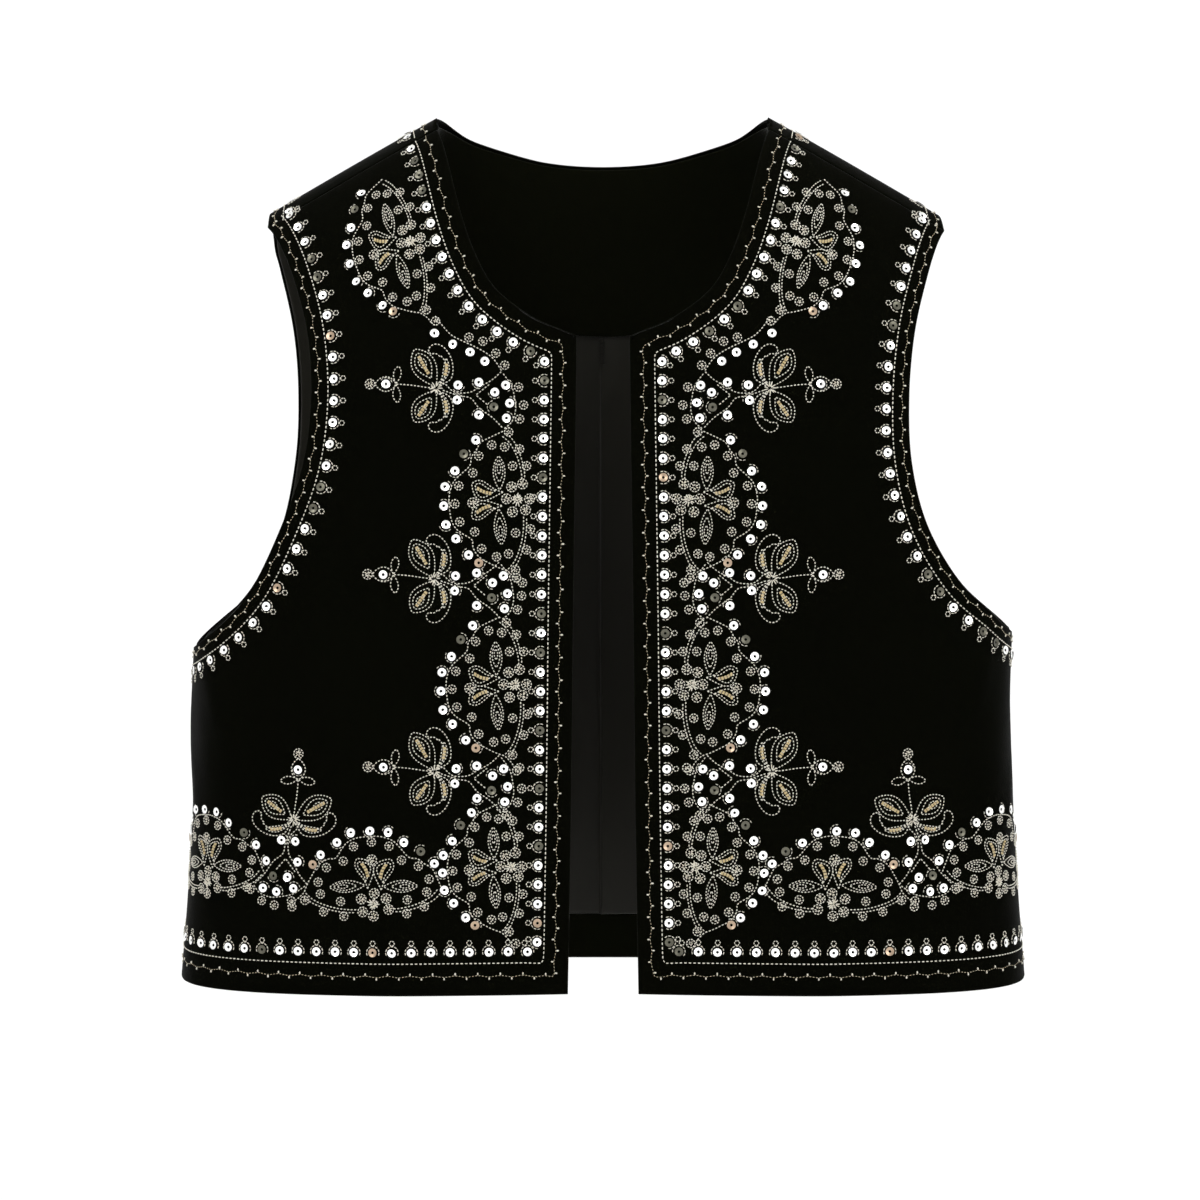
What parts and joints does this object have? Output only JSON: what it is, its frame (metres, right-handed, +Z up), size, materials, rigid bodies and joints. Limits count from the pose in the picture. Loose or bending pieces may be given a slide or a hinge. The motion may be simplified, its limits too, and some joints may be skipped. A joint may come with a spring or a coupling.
{
  "type": "velvet waistcoat",
  "caption": "Cropped sleeveless velvet waistcoat with an open front and embroidered borders, filled out as if worn, hollow inside.",
  "frame": {"origin": "midway between the shoulder seams, at the height where the wearer's shoulders carry the garment", "axes": "+Z up, -Y out of the front, +X towards the wearer's left"},
  "size_m": [0.4394, 0.1491, 0.4473],
  "materials": {
    "velvet": "matte",
    "satin": "satin",
    "thread": "satin",
    "sequin": "gloss"
  },
  "bodies": {
    "root": {"front_left": "velvet", "front_right": "velvet", "back": "velvet", "back_neck_facing": "velvet", "back_lining": "satin", "back_hem_facing": "velvet"}
  },
  "joints": []
}
